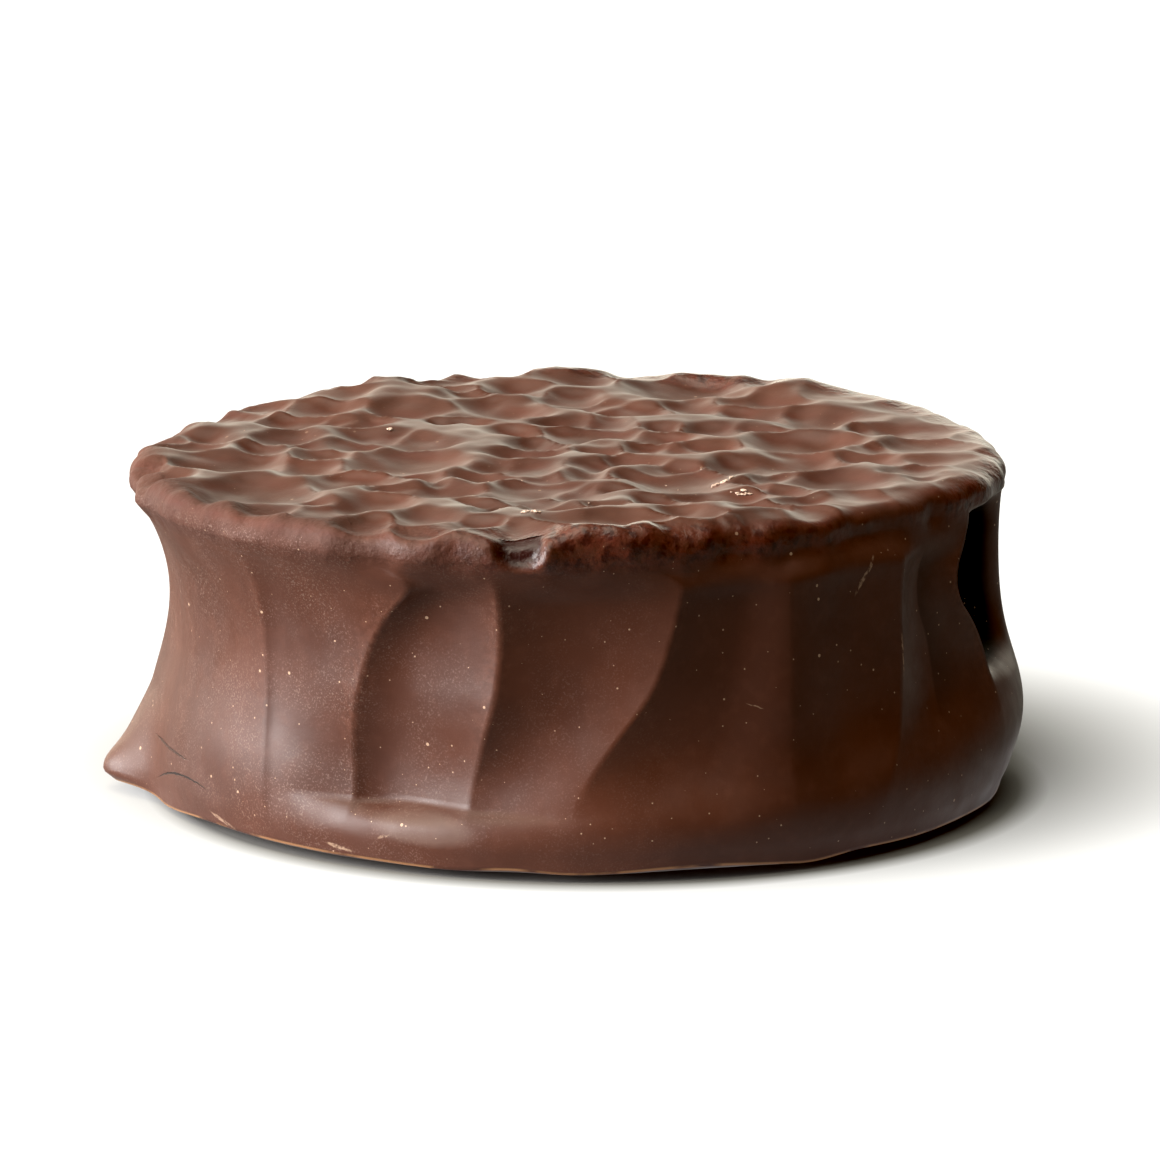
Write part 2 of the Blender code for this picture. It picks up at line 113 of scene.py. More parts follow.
# The folds of the side
class Fold(NamedTuple):
    """A crest that runs down the side, and the hollow panel to the right of it."""

    angles: tuple  # degrees, of the crest at each of CREST_HEIGHTS
    sharpness: float  # 0 for a soft swelling, 1 for a crease
    depth: float  # of the panel below its two crests
    floor: float  # where the panel is deepest, as a share of its width
    walls: float = 2.0  # 2 for a dished panel, more for steep walls and a wide floor
    foot: float = 1.8  # height at which the panel runs out, below
    head: float = 21.9  # and above
    rise: float = 3.0  # height over which it deepens, from its foot up
    ease: float = -0.2  # share of its depth that it loses further up or, below nought, near its foot


CREST_HEIGHTS = (21, 17, 13, 9, 5)
FOLDS = (
    Fold((-86, -87, -87, -86, -84.5), 0.0, 0.2, 0.5),
    Fold((-64, -64, -65, -67, -68), 0.0, 0.15, 0.5),
    Fold((-43.6, -43.8, -44.2, -44, -43.5), 0.9, 0.3, 0.15),
    Fold((-18, -25.2, -28.3, -30, -30), 1.0, 1.2, 0.38, foot=3.4, rise=1.4, ease=-0.25),
    Fold((-9.2, -8.7, -9.3, -11.3, -13.5), 1.0, 1.2, 0.45, foot=3.5, rise=9.0, ease=0.1),
    Fold((14.6, 13, 10.5, 4.3, 0), 0.9, 0.9, 0.55, foot=2.5, rise=7.0),
    Fold((29, 29, 29, 28.5, 28), 0.3, 0.55, 0.5, rise=6.0),
    Fold((50, 48.7, 48.5, 46.8, 41.5), 0.7, 0.9, 0.4, foot=3.0, rise=7.0),
    Fold((67, 61.5, 69.5, 70, 70), 1.0, 7.5, 0.4, walls=3.5, foot=9.0, head=22.2, rise=5.5),  # the pocket
    Fold((89, 89, 89, 89, 90), 0.0, 0.7, 0.5),
)
BACK_FOLDS = 8
BACK_START = 112.0
BACK_END = 256.0
BACK_JITTER = 3.5
BACK_LEAN = 7.0
BACK_LEANS = (-0.5, -0.3, 0.0, 0.3, 0.5)  # share of that lean at each of CREST_HEIGHTS
BACK_SHARPNESS = (0.4, 1.0)
BACK_DEPTH = (0.6, 1.3)
BACK_FLOOR = (0.35, 0.65)
EASE_HEIGHTS = (5.0, 12.0)  # over which a panel's ease goes from its foot to further up
FADE_OUT = 3.0  # height over which a panel runs out under its head
CREST_BEND = 1.5  # height each way over which a crest's corners are rounded
EVEN_FROM = 20.0  # height from which the columns spread evenly towards the rim
COLUMNS = 672  # of faces round the side
SAME_TURN = 1e-9  # keeps a crest's own column in the panel to its right
POCKET_FROM = math.radians(56.0)  # the deep panels from here on are the pocket
POCKET_SHADE_DEPTHS = (0.5, 1.4)  # depths over which painted shade darkens the pocket


def back_folds():
    """Folds like those at the front, round the side that faces away."""
    random = np.random.default_rng([SEED, 1])
    folds = []
    for middle in np.linspace(BACK_START, BACK_END, BACK_FOLDS):
        middle += random.uniform(-BACK_JITTER, BACK_JITTER)
        lean = random.uniform(-BACK_LEAN, BACK_LEAN)
        angles = tuple(middle + lean * share for share in BACK_LEANS)
        sharpness = random.uniform(*BACK_SHARPNESS)
        depth = random.uniform(*BACK_DEPTH)
        folds.append(Fold(angles, sharpness, depth, floor=random.uniform(*BACK_FLOOR)))
    return folds


def crest_angles(folds, height):
    """Angles in degrees, of the crest of each fold at each height: one row a fold."""
    rows = []
    for fold in folds:
        near = [
            np.interp(height + bend, CREST_HEIGHTS[::-1], fold.angles[::-1])
            for bend in np.linspace(-CREST_BEND, CREST_BEND, 5)
        ]
        rows.append(np.mean(near, axis=0))
    return np.array(rows)


def column_places(folds):
    """Where each fold's crest falls among the columns of the mesh, as a share of the turn."""
    return np.array([round(np.mean(fold.angles) / 360.0 * COLUMNS) / COLUMNS for fold in folds])


def panels(folds, turn, height):
    """Angle in radians, depth in the panel and sharpness of the nearer crest, of columns at their heights."""
    places = column_places(folds)
    turn = (turn - places[0]) % 1.0 + places[0]
    before = np.searchsorted(places, turn + SAME_TURN) - 1
    after = (before + 1) % len(folds)
    width = np.diff(np.append(places, places[0] + 1.0))[before]
    share = (turn - places[before]) / width

    crests = crest_angles(folds, height)
    points = np.arange(len(turn))
    left = crests[before, points]
    right = crests[after, points] + np.where(after == 0, 360.0, 0.0)
    angle = np.radians(left + (right - left) * share)
    angle += (turn * math.tau - angle) * smooth_step(EVEN_FROM, RIM_HEIGHT, height)

    sharpness, depth, floor, walls, foot, head, rise, ease = np.array([fold[1:] for fold in folds]).T
    near_left = share < floor[before]
    inward = np.where(near_left, share / floor[before], (1.0 - share) / (1.0 - floor[before]))
    crease = np.where(near_left, sharpness[before], sharpness[after])
    dished = 1.0 - (1.0 - inward) ** walls[before]
    soft = np.sin(inward * math.pi / 2.0) ** 2
    fade = smooth_step(foot[before], foot[before] + rise[before], height)
    further_up = smooth_step(*EASE_HEIGHTS, height)
    fade *= 1.0 - np.abs(ease[before]) * np.where(ease[before] > 0.0, further_up, 1.0 - further_up)
    fade *= 1.0 - smooth_step(head[before] - FADE_OUT, head[before], height)
    return angle, depth[before] * (soft + (dished - soft) * crease) * fade, crease * (1.0 - inward) * fade


# The chip in the rim
CHIP_ANGLE = -6.1
CHIP_DEPTH = 0.9
CHIP_HALF_WIDTH = 1.75
CHIP_HALF_HEIGHT = 1.65
CHIP_HEIGHT = 23.5
CHIP_WALL = (0.68, 1.1)  # shares of its half width at which its wall begins and ends
CHIP_LIP = 0.2  # how far its right edge stands out
CHIP_LIP_WIDTH = 0.45
CHIP_SHADE_DEPTHS = (0.12, 0.6)  # depths over which painted shade darkens it


def chip(angle, height):
    """Depth of the chip."""
    across = TOP_RADIUS * np.sin(angle - math.radians(CHIP_ANGLE))
    up = (height - CHIP_HEIGHT) / CHIP_HALF_HEIGHT
    pit = 1.0 - smooth_step(*CHIP_WALL, np.hypot(across / CHIP_HALF_WIDTH, up))
    lip = np.exp(-(((across - CHIP_HALF_WIDTH) / CHIP_LIP_WIDTH) ** 2) - up**2)
    return (CHIP_DEPTH * pit - CHIP_LIP * lip) * (np.cos(angle) > 0.0)


# The side before its folds: waist, rim, band and tail
WAIST_HEIGHT = 16.0  # where the side is drawn in most
WAIST_HEIGHT_RIGHT = 1.5  # so much higher at the right and lower at the left
WAIST_FOOT = 2.0  # height at which it begins
WAIST_DEPTH = 1.4
WAIST_LEFT = 1.1  # so much deeper at the left and shallower at the right
WAIST_FRONT = 0.55  # so much shallower at the front and deeper at the back
RIM_OVERHANG = 0.65  # how far the rim stands out past TOP_RADIUS
RIM_LEFT = 0.05  # so much further at the left
BAND_BULGE = 0.6
BAND_BULGE_RIGHT = 0.6  # so much more at the right and less at the left
BAND_BULGE_SIDES = 0.35  # so much more at both sides, and the same below
BAND_HEIGHT = 3.6
BAND_HEIGHT_SIDES = 2.8
BAND_SPREAD = 2.4  # height over which it bulges, each way
BAND_SPREAD_SIDES = 2.2
BAND_TUCK = 2.5  # height over which it comes out from the foot
LEDGE = 1.4  # how far the side steps in above the band at the front on the left
LEDGE_FROM = (-42.0, -28.0)  # degrees over which it begins
LEDGE_TO = (-14.0, 8.0)  # and ends
LEDGE_STEP = (1.2, 4.6)  # heights between which it steps in
LEDGE_END = (5.0, 13.0)  # heights over which the side comes out again
LEDGE_ROLL = 0.65  # 0.5 for a quarter of an ellipse, more for a softer inner corner
TAIL_ANGLE = -84.5
TAIL_LENGTH = 2.4
TAIL_HALF_ANGLE = 13.0
TAIL_LEVEL = 1.4  # height at which it is longest
TAIL_UNDER = 4.0  # height over which it runs out below that level
TAIL_HEIGHT = 6.5  # and above
TAIL_TAPER = 1.35
TAIL_BEAD = (0.6, 2.1, 1.4)  # how far its rounded end stands out, the height of it and its radius
SIDE_WAVES = (0.12, 2, 9)  # depth, then the least and the most waves to the turn
SIDE_WAVES_FULL = 6.0  # height at which they have their whole depth
RIM_WAVES = (0.16, 11, 43)
RIM_WAVES_FROM = 20.5
FOOT_WAVES = (0.12, 3, 19)


def side_radius(angle, height):
    """Radius of the side before its folds, from the foot's edge up to the rim."""
    foot = outline(FOOT_RADIUS, FOOT_SWELLS, angle)
    rightness = np.sin(angle)
    rim = outline(TOP_RADIUS, TOP_SWELLS, angle) + RIM_OVERHANG - RIM_LEFT * rightness
    rise = (height - FOOT_EDGE_HEIGHT) / (RIM_HEIGHT - FOOT_EDGE_HEIGHT)
    radius = foot + (rim - foot) * rise

    waist_share = np.clip((height - WAIST_FOOT) / (RIM_HEIGHT - WAIST_FOOT), 0.0, 1.0)
    deepest = (WAIST_HEIGHT + WAIST_HEIGHT_RIGHT * rightness - WAIST_FOOT) / (RIM_HEIGHT - WAIST_FOOT)
    waist = np.sin(math.pi * waist_share ** (math.log(0.5) / np.log(deepest)))
    radius -= (WAIST_DEPTH - WAIST_LEFT * rightness - WAIST_FRONT * np.cos(angle)) * waist

    from_band = height - BAND_HEIGHT - BAND_HEIGHT_SIDES * rightness**2
    from_band /= BAND_SPREAD + BAND_SPREAD_SIDES * rightness**2
    bulge = BAND_BULGE + BAND_BULGE_RIGHT * rightness + BAND_BULGE_SIDES * rightness**2
    radius += bulge * np.exp(-(from_band**2)) * smooth_step(0.0, BAND_TUCK, height)
    radius += waves(SIDE_WAVES, angle, 2) * smooth_step(0.0, SIDE_WAVES_FULL, height)
    radius += waves(RIM_WAVES, angle, 3) * smooth_step(RIM_WAVES_FROM, RIM_HEIGHT, height)
    radius -= rim_inset(angle) * smooth_step(*RIM_INSET_HEIGHTS, height)

    turned = (np.degrees(angle) + 180.0) % 360.0 - 180.0
    ledge = smooth_step(*LEDGE_FROM, turned) * (1.0 - smooth_step(*LEDGE_TO, turned))
    low, high = LEDGE_STEP
    roll = (1.0 - np.clip((height - low) / (high - low), 0.0, 1.0) ** 2) ** LEDGE_ROLL
    radius -= LEDGE * ledge * (1.0 - roll) * (1.0 - smooth_step(*LEDGE_END, height))

    from_tail = (np.degrees(angle) - TAIL_ANGLE + 180.0) % 360.0 - 180.0
    point = np.clip(1.0 - (from_tail / TAIL_HALF_ANGLE) ** 2, 0.0, 1.0) ** 3
    above = height - TAIL_LEVEL
    away = np.where(above > 0.0, above / TAIL_HEIGHT, -above / TAIL_UNDER)
    slope = np.clip(1.0 - away, 0.0, 1.0) ** TAIL_TAPER
    stand, level, spread = TAIL_BEAD
    beside = TOP_RADIUS * np.radians(from_tail)
    bead = stand * np.exp(-((height - level) ** 2 + beside**2) / spread**2)
    return radius + TAIL_LENGTH * point * slope + bead


# The pebbles of the rim: seeded ones, and the blisters that the photo shows
# A blister has its angle, its height, its radius and how far it stands out.
PEBBLES = 320
PEBBLE_RADIUS = (0.35, 0.95)
PEBBLE_STAND = 0.06  # how far one stands out or in, about
PEBBLE_HEIGHTS = (21.3, 24.0)
BLISTERS = (
    (2.4, 24.0, 0.8, 0.16),
    (5.6, 23.9, 0.7, 0.14),
    (3.7, 22.2, 0.8, 0.2),
    (11.7, 22.4, 0.8, 0.22),
    (18.4, 23.9, 0.8, 0.18),
    (23.0, 23.9, 0.5, 0.2),
    (-2.6, 22.9, 0.5, 0.16),
    (-16.0, 23.3, 0.9, 0.14),
    (-30.0, 23.0, 1.0, 0.18),
    (-38.0, 23.6, 0.8, 0.16),
    (-50.0, 22.9, 0.9, 0.2),
    (-58.0, 23.4, 1.0, 0.2),
    (-70.0, 22.6, 1.1, 0.22),
    (-80.0, 23.0, 1.0, 0.25),
)


def pebbles(angle, height):
    """How far the skin stands out at the rim, in small lumps."""
    random = np.random.default_rng([SEED, 10])
    lumps = list(BLISTERS)
    for _ in range(PEBBLES):
        lumps.append(
            (
                random.uniform(-180.0, 180.0),
                random.uniform(*PEBBLE_HEIGHTS),
                random.uniform(*PEBBLE_RADIUS),
                random.normal(0.0, PEBBLE_STAND),
            )
        )
    total = np.zeros_like(angle)
    for middle, level, radius, stand in lumps:
        across = TOP_RADIUS * np.radians((np.degrees(angle) - middle + 180.0) % 360.0 - 180.0)
        total += stand * np.exp(-(across**2 + (height - level) ** 2) / radius**2)
    return total


# The hollows of the top: across, back and radius, the large ones first and then those between them
HOLLOWS = (
    (-24.0, -5.6, 4.0),
    (-17.8, -6.8, 3.0),
    (-12.3, -4.2, 4.2),
    (-22.0, -14.5, 4.5),
    (-15.2, -12.5, 3.0),
    (-14.1, -20.0, 3.4),
    (-8.2, -15.5, 3.0),
    (-3.0, -15.0, 3.2),
    (6.7, -12.5, 3.8),
    (11.6, -7.0, 3.0),
    (16.0, -5.0, 3.8),
    (19.2, -11.5, 3.5),
    (0.5, -17.0, 2.5),
    (-12.0, 15.0, 3.2),
    (-5.5, 16.0, 3.6),
    (-1.0, 20.0, 2.4),
    (-4.0, 23.5, 2.6),
    (-21.1, 9.9, 2.5),
    (-14.2, 5.0, 2.4),
    (1.5, 5.5, 3.0),
    (4.3, 14.3, 2.4),
    (8.0, 24.5, 4.5),
    (15.0, 19.0, 3.2),
    (13.5, 13.5, 2.8),
    (18.2, 12.0, 3.8),
    (20.0, 21.0, 3.0),
    (25.0, 9.0, 3.2),
    (25.0, 2.5, 3.2),
    (16.5, 3.0, 3.8),
    (10.5, 7.0, 2.2),
    (21.6, -4.0, 2.5),
    (4.3, -4.0, 2.0),
    (7.0, -7.4, 2.0),
    (-3.5, -1.8, 2.1),
)
SMALL_HOLLOW = (1.8, 3.2)  # least and most radius of the seeded ones
SMALL_HOLLOW_TRIES = 1500
HOLLOW_SPACING = 0.82  # least distance between two, as a share of their radii together
FINE_HOLLOWS = (
    (-6.0, -6.0, 2.0),
    (-2.8, -7.0, 2.2),
    (-11.9, -14.5, 1.2),
    (-9.8, -12.4, 1.3),
    (-16.6, -22.0, 2.5),
    (-6.6, -20.1, 1.3),
    (-5.0, -22.4, 1.4),
    (-9.6, -24.7, 2.2),
    (8.0, -0.8, 1.8),
    (14.5, -10.8, 1.5),
    (13.1, -12.9, 1.3),
    (25.8, -4.2, 1.8),
    (24.9, -10.6, 1.5),
    (3.1, -14.9, 1.2),
    (2.2, -20.8, 1.1),
    (6.0, -20.0, 2.3),
    (14.3, -15.5, 2.2),
    (17.4, -13.5, 1.2),
    (-7.2, 9.2, 1.3),
    (-9.3, 9.4, 1.3),
    (-3.9, 6.4, 1.8),
    (-2.8, 2.4, 2.0),
    (-17.4, 9.7, 1.3),
    (-14.9, 9.9, 1.5),
    (-27.2, 1.5, 2.0),
    (-18.6, 1.5, 1.5),
    (22.0, 7.0, 1.6),
    (13.9, 8.0, 1.6),
    (6.4, 8.3, 1.6),
    (22.0, 0.6, 1.5),
    (6.0, 0.1, 1.5),
)
CREST_LEVEL = 0.3  # height over TOP_HEIGHT at which the crests level off
HOLLOW_DEPTH = 0.27  # of a hollow of 1 mm radius
HOLLOW_POWER = 0.8  # of the radius, by which a larger one is deeper
CREST_ROUNDING = 0.035  # height over which a crest's edge is rounded
# Broad swellings: across, back, radius and height
SWELLINGS = (
    (-14.0, 24.0, 9.5, 0.65),
    (-0.7, 28.5, 2.6, 0.45),
    (18.5, 23.5, 5.5, 0.95),
    (4.5, 27.5, 2.5, 0.35),
    (1.5, -27.5, 5.0, 0.5),
    (10.0, -26.5, 5.5, 0.45),
)
HOLLOW_TILT = 0.045  # how steep a hollow leans, about
FINE_SWELL = 0.08  # height of a fine unevenness, as a share of the distance in CREEP
SWELL_PACE = 2.2  # how many times shorter its waves are than those
CREST_BREADTH = 0.07  # how little two neighbours differ in height near a crest
EVENED = 0.6  # share of the relief lost along the rim at the right
EVENED_REACH = (22.0, 29.0)
EVENED_ACROSS = (12.0, 22.0)
CREEP = (0.42, 3.6, 10.8, 16)  # straying of the crests: distance, least and most wave length, number of waves


def hollows():
    """Places and radii of the hollows of the top: the large ones, then seeded small ones between them."""
    random = np.random.default_rng([SEED, 4])
    found = [*HOLLOWS, *FINE_HOLLOWS]
    for _ in range(SMALL_HOLLOW_TRIES):
        radius = random.uniform(*SMALL_HOLLOW)
        reach = TOP_RADIUS * math.sqrt(random.uniform(0.0, 1.0))
        direction = random.uniform(0.0, math.tau)
        x = reach * math.cos(direction)
        y = reach * math.sin(direction)
        others = np.array(found)
        apart = np.hypot(x - others[:, 0], y - others[:, 1])
        if np.all(apart > HOLLOW_SPACING * (radius + others[:, 2])):
            found.append((x, y, radius))
    return np.array(found)


def creep(x, y, stream):
    """Seeded straying of a place of the top, in mm."""
    reach, shortest, longest, count = CREEP
    random = np.random.default_rng([SEED, stream])
    total = np.zeros_like(x)
    for _ in range(count):
        length = random.uniform(shortest, longest)
        direction = random.uniform(0.0, math.tau)
        along = x * math.cos(direction) + y * math.sin(direction)
        total += np.sin(along / length * math.tau + random.uniform(0.0, math.tau))
    return total * reach / math.sqrt(count / 2.0)


def top_relief(x, y):
    """Height over TOP_HEIGHT of dished hollows that meet in thin crests, and how near a crest each is."""
    strayed_x = x + creep(x, y, 6)
    strayed_y = y + creep(x, y, 7)
    random = np.random.default_rng([SEED, 8])
    rises = []
    for across, back, radius in hollows():
        depth = HOLLOW_DEPTH * radius**HOLLOW_POWER
        from_x = strayed_x - across
        from_y = strayed_y - back
        rise = depth * (from_x**2 + from_y**2) / radius**2 - depth
        rise += random.normal(0.0, HOLLOW_TILT) * from_x
        rise += random.normal(0.0, HOLLOW_TILT) * from_y
        rises.append(rise)
    lowest, second = np.partition(np.array(rises), 1, axis=0)[:2]
    total = sum(np.exp(-rise / CREST_ROUNDING) for rise in rises)
    relief = -CREST_ROUNDING * np.log(total)
    relief = np.where(relief > 0.0, CREST_LEVEL * np.tanh(relief / CREST_LEVEL), relief)
    relief += creep(x * SWELL_PACE, y * SWELL_PACE, 9) * FINE_SWELL
    for across, back, radius, height in SWELLINGS:
        relief += height * np.exp(-((x - across) ** 2 + (y - back) ** 2) / radius**2)
    relief *= 1.0 - EVENED * smooth_step(*EVENED_REACH, np.hypot(x, y)) * smooth_step(*EVENED_ACROSS, x)
    return relief, np.exp(-(second - lowest) / CREST_BREADTH)


# The blank that the skin is formed from: rings of radius and height, and the rows of faces between them
BLANK_RINGS = (
    (TOP_RADIUS - 2.0, TOP_HEIGHT),
    (TOP_RADIUS + RIM_OVERHANG, RIM_HEIGHT),
    (FOOT_RADIUS, FOOT_EDGE_HEIGHT),
    (FLAT_RADIUS, 0.0),
)
BLANK_ROWS = (14, 78, 6)
NEAR = 0.001  # two heights within this many mm are the same


def pick_edges(mesh, chosen):
    """Selects, in edit mode, the edges whose lower and upper heights in mm the rule takes."""
    bpy.ops.mesh.select_all(action="DESELECT")
    edited = bmesh.from_edit_mesh(mesh)
    for edge in edited.edges:
        low, high = sorted(vertex.co.z / MM for vertex in edge.verts)
        edge.select_set(chosen(low, high))
    bmesh.update_edit_mesh(mesh)


def turned_blank():
    """A plain closed drum at the cookie's size, with a square grid of faces across its top."""
    bpy.ops.object.select_all(action="DESELECT")
    radius, height = BLANK_RINGS[0]
    bpy.ops.mesh.primitive_circle_add(vertices=COLUMNS, radius=radius * MM, location=(0.0, 0.0, height * MM))
    blank = bpy.context.active_object
    bpy.ops.object.transform_apply(location=True, rotation=False, scale=False)
    bpy.ops.object.mode_set(mode="EDIT")
    bpy.ops.mesh.select_mode(type="EDGE")
    bpy.ops.mesh.select_all(action="SELECT")
    for next_radius, next_height in BLANK_RINGS[1:]:
        drop = (0.0, 0.0, (next_height - height) * MM)
        bpy.ops.mesh.extrude_region_move(TRANSFORM_OT_translate={"value": drop})
        spread = next_radius / radius
        bpy.ops.transform.resize(value=(spread, spread, 1.0), center_override=(0.0, 0.0, next_height * MM))
        radius, height = next_radius, next_height
    bpy.ops.mesh.edge_face_add()

    pick_edges(blank.data, lambda low, high: low > TOP_HEIGHT - NEAR)
    bpy.ops.mesh.fill_grid(span=COLUMNS // 4)
    for (_, above), (_, below), rows in zip(BLANK_RINGS, BLANK_RINGS[1:], BLANK_ROWS):
        pick_edges(blank.data, lambda low, high: abs(low - below) < NEAR and abs(high - above) < NEAR)
        bpy.ops.mesh.subdivide(number_cuts=rows - 1)
    bpy.ops.mesh.select_all(action="SELECT")
    bpy.ops.mesh.normals_make_consistent(inside=False)
    bpy.ops.object.mode_set(mode="OBJECT")
    return blank


def side_points(turn, share):
    """Points of the side, the rim at share 0 to the foot's edge at share 1, their crease and panel depth."""
    edge = FOOT_EDGE_HEIGHT + waves(FOOT_WAVES, turn * math.tau, 5)
    height = RIM_HEIGHT + (edge - RIM_HEIGHT) * share
    angle, depth, crease = panels([*FOLDS, *back_folds()], turn, height)
    radius = side_radius(angle, height) - depth - chip(angle, height) + pebbles(angle, height)
    return np.stack((radius * np.sin(angle), -radius * np.cos(angle), height), axis=1), crease, depth


def shoulder_points(turn, share):
    """Points of the roundover, from the top at share 0 to the rim at share 1."""
    angle = turn * math.tau
    inner = top_edge(angle)
    over = np.sin(share * math.pi / 2.0) ** SHOULDER_FULLNESS
    up = np.maximum(np.cos(share * math.pi / 2.0), 0.0) ** SHOULDER_FULLNESS
    height = RIM_HEIGHT + (TOP_HEIGHT - RIM_HEIGHT) * up
    radius = inner + (side_radius(angle, np.full_like(angle, RIM_HEIGHT)) - inner) * over
    stand = pebbles(angle, height)
    radius += stand * over - chip(angle, height)
    height = height + stand * up
    x = radius * np.sin(angle)
    y = -radius * np.cos(angle)
    relief, ridge = top_relief(x, y)
    return np.stack((x, y, height + relief * up), axis=1), ridge * up


def curl_points(turn, share):
    """Points of the underside, from the foot's edge at share 0 in to the flat face at share 1."""
    edge, _, _ = side_points(turn, np.ones_like(turn))
    radius = np.hypot(edge[:, 0], edge[:, 1])
    reach = (FLAT_RADIUS + (radius - FLAT_RADIUS) * (1.0 - share)) / radius
    return np.stack((edge[:, 0] * reach, edge[:, 1] * reach, edge[:, 2] * (1.0 - share) ** 2), axis=1)


def top_points(turn, reach):
    """Points of the top, from its middle at reach 0 to the roundover at reach 1."""
    angle = turn * math.tau
    inner = top_edge(angle) * reach
    x = inner * np.sin(angle)
    y = -inner * np.cos(angle)
    relief, ridge = top_relief(x, y)
    return np.stack((x, y, TOP_HEIGHT + relief), axis=1), ridge


def form_skin(blank):
    """Moves the blank's points to the cookie's surface, and notes in attributes what each is part of."""
    count = len(blank.data.vertices)
    plain = np.empty(count * 3)
    blank.data.vertices.foreach_get("co", plain)
    plain = plain.reshape(-1, 3) / MM
    turn = np.arctan2(plain[:, 0], -plain[:, 1]) / math.tau
    height = plain[:, 2]
    points = np.empty_like(plain)
    creased = np.zeros(count)
    ridged = np.zeros(count)
    pocket_shade = np.zeros(count)
    edged = np.zeros(count)

    top = height > TOP_HEIGHT - NEAR
    shoulder = (height < TOP_HEIGHT - NEAR) & (height > RIM_HEIGHT + NEAR)
    side = (height < RIM_HEIGHT + NEAR) & (height > FOOT_EDGE_HEIGHT - NEAR)
    curl = height < FOOT_EDGE_HEIGHT - NEAR
    columns = np.round(turn * COLUMNS) / COLUMNS
    reach = np.hypot(plain[:, 0], plain[:, 1]) / BLANK_RINGS[0][0]
    points[top], ridged[top] = top_points(turn[top], reach[top])
    over = (TOP_HEIGHT - height[shoulder]) / (TOP_HEIGHT - RIM_HEIGHT)
    points[shoulder], ridged[shoulder] = shoulder_points(columns[shoulder], over)
    down = (RIM_HEIGHT - height[side]) / (RIM_HEIGHT - FOOT_EDGE_HEIGHT)
    points[side], creased[side], depth = side_points(columns[side], down)
    # painted shade in the pocket, darker where its panels are deeper
    pocket_shade[side] = smooth_step(*POCKET_SHADE_DEPTHS, depth) * (columns[side] * math.tau > POCKET_FROM)
    points[curl] = curl_points(columns[curl], 1.0 - height[curl] / FOOT_EDGE_HEIGHT)
    edged[np.abs(height - FOOT_EDGE_HEIGHT) < NEAR] = 1.0

    blank.data.vertices.foreach_set("co", (points * MM).ravel())
    angle = np.arctan2(points[:, 0], -points[:, 1])
    # painted shade in the chip, darker where it is deeper
    chip_shade = np.where(top, 0.0, smooth_step(*CHIP_SHADE_DEPTHS, chip(angle, points[:, 2])))
    noted = {"crease": creased, "ridge": ridged, "pocket": pocket_shade, "chip": chip_shade, "edge": edged}
    for name, values in noted.items():
        blank.data.attributes.new(name, "FLOAT", "POINT").data.foreach_set("value", values)
    blank.data.update()


skin = turned_blank()
skin.name = "chocolate_skin"
skin.data.name = "chocolate_skin"
form_skin(skin)
bpy.ops.object.shade_smooth()


# Dark couverture, dipped and cooled: a satin brown, paler where it dulled in the air and where it was rubbed,
# with fine pale specks of cocoa butter and a surface that is smooth on the panels and pebbled at the rim.
# Shade is painted into the pocket, chip, cracks and hollows of the top, and highlights onto the band and
# crests.
CHOCOLATE = "#432317"
CHOCOLATE_DEEP = "#3A1E14"
CHOCOLATE_WORN = "#5A3629"
CHOCOLATE_RED = "#4E1C13"
CHIP_RED = "#230A07"
CREST_SHEEN = "#6E5444"
BLOOM = "#A48C80"
COCOA_BUTTER = "#AC8E76"
HIGHLIGHT_PALE = "#C8B4A8"
TAN = "#8A6242"
# near-black painted shade, in the pocket and in the cracks
SHADE_BLACK = "#070302"
CHOCOLATE_IOR = 1.46
CHOCOLATE_SPECULAR = 0.27
SHARE, FIRST, SECOND, MIXED = 0, 6, 7, 2  # sockets of a colour mix


def linear(code):
    """The linear colour of an sRGB hex value."""
    shares = [int(code[place : place + 2], 16) / 255.0 for place in (1, 3, 5)]
    return (*(s / 12.92 if s <= 0.04045 else ((s + 0.055) / 1.055) ** 2.4 for s in shares), 1.0)


def add_node(tree, kind, sockets=None, **settings):
    """Adds a node with its settings; a socket given for one of its own is linked to it, a value is set."""
    made = tree.nodes.new(kind)
    for name, value in settings.items():
        setattr(made, name, value)
    for name, value in (sockets or {}).items():
        if isinstance(value, bpy.types.NodeSocket):
            tree.links.new(value, made.inputs[name])
        else:
            made.inputs[name].default_value = value
    return made


def maths(tree, operation, *values):
    """The result of one operation on sockets and numbers."""
    return add_node(tree, "ShaderNodeMath", dict(enumerate(values)), operation=operation).outputs[0]


couverture = bpy.data.materials.new("set_dark_couverture")
couverture.use_nodes = True
tree = couverture.node_tree
surface = tree.nodes["Principled BSDF"]
place = add_node(tree, "ShaderNodeTexCoord").outputs["Object"]
place = add_node(tree, "ShaderNodeVectorMath", {0: place, "Scale": 1.0 / MM}, operation="SCALE").outputs[0]
across, back, height = add_node(tree, "ShaderNodeSeparateXYZ", {0: place}).outputs
turned = maths(tree, "ARCTAN2", across, maths(tree, "MULTIPLY", back, -1.0))
around = maths(tree, "MULTIPLY", turned, TOP_RADIUS)


def noise(size, detail):
    """Noise with waves of about that many mm."""
    return add_node(tree, "ShaderNodeTexNoise", {"Vector": place, "Scale": 1.0 / size, "Detail": detail})


def between(value, start, end, most=1.0):
    """0 where the value is at start, rising or falling to the most at end."""
    spread = {"Value": value, "From Min": start, "From Max": end, "To Min": 0.0, "To Max": most}
    return add_node(tree, "ShaderNodeMapRange", spread).outputs["Result"]


